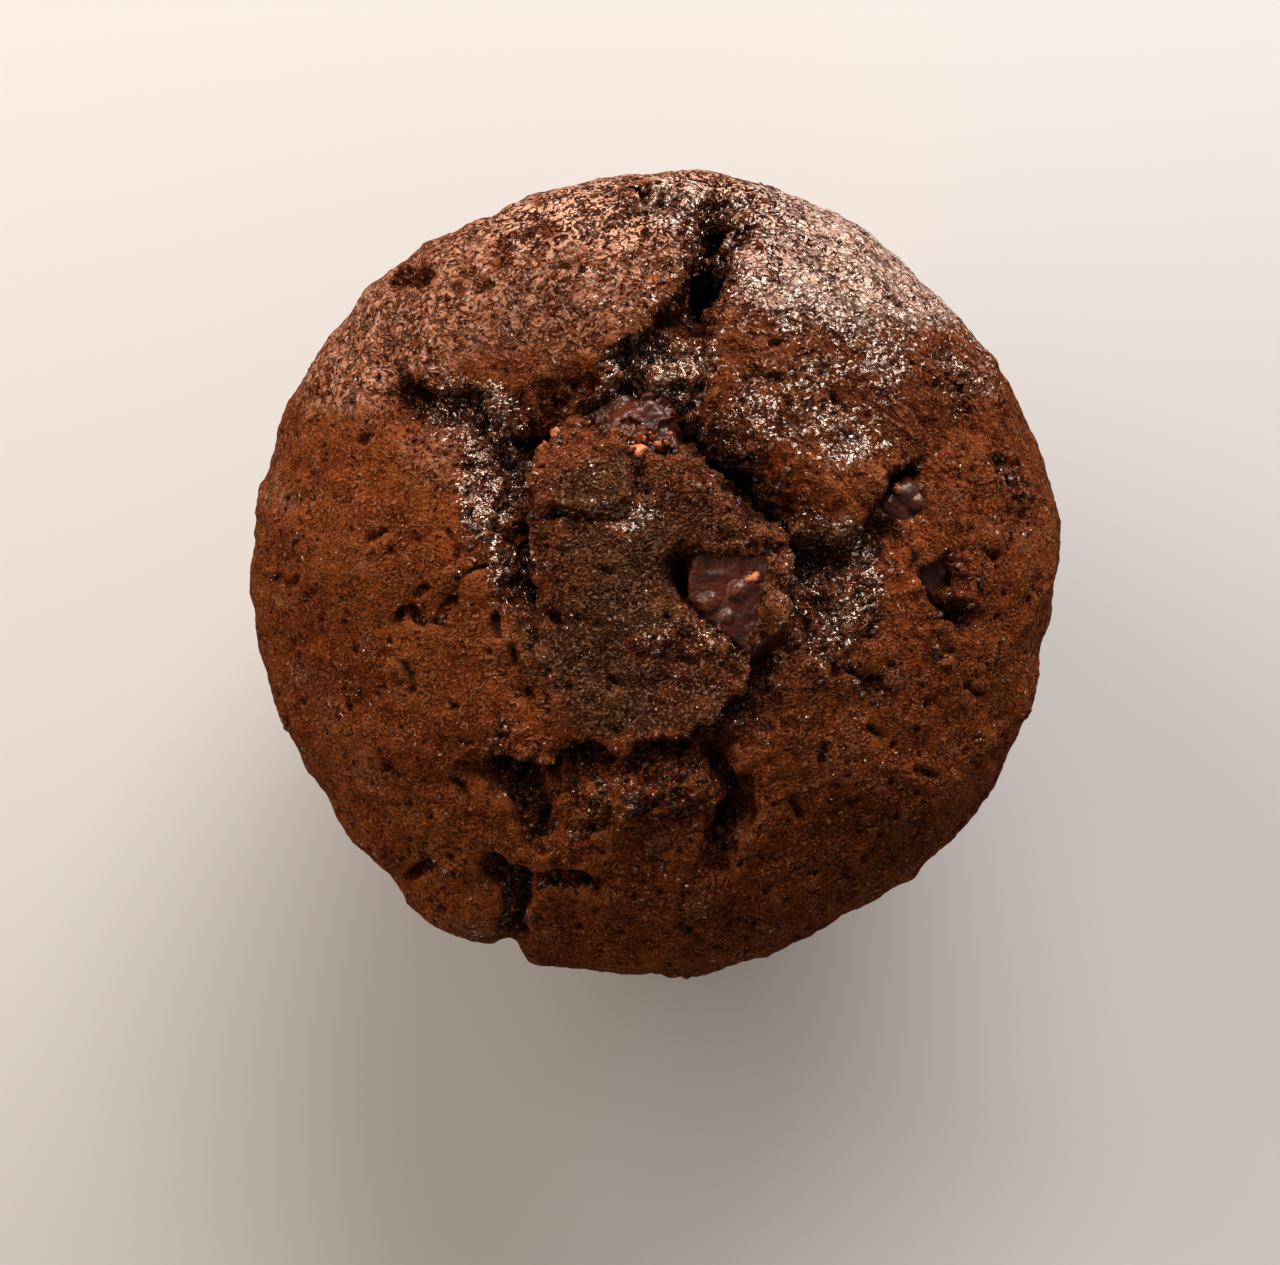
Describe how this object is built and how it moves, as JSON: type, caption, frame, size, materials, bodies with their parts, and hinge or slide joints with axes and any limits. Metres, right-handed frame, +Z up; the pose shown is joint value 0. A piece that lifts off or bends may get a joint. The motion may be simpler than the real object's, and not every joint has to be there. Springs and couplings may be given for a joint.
{
  "type": "chocolate muffin",
  "caption": "Large baked chocolate muffin with a wide, cracked crown, lumps of chocolate in the cracks and a tapered, softly fluted stump.",
  "frame": {"origin": "middle of the flat foot that the muffin rests on", "axes": "+Z up through the crown; +Y towards the top edge of the view from above, +X to its right"},
  "size_m": [0.0923, 0.0912, 0.0672],
  "materials": {
    "crumb": "matte, porous",
    "chocolate": "soft gloss"
  },
  "bodies": {
    "root": {"crumb": "crumb", "chocolate_middle": "chocolate", "chocolate_north": "chocolate", "chocolate_cleft": "chocolate", "chocolate_east": "chocolate"}
  },
  "joints": []
}
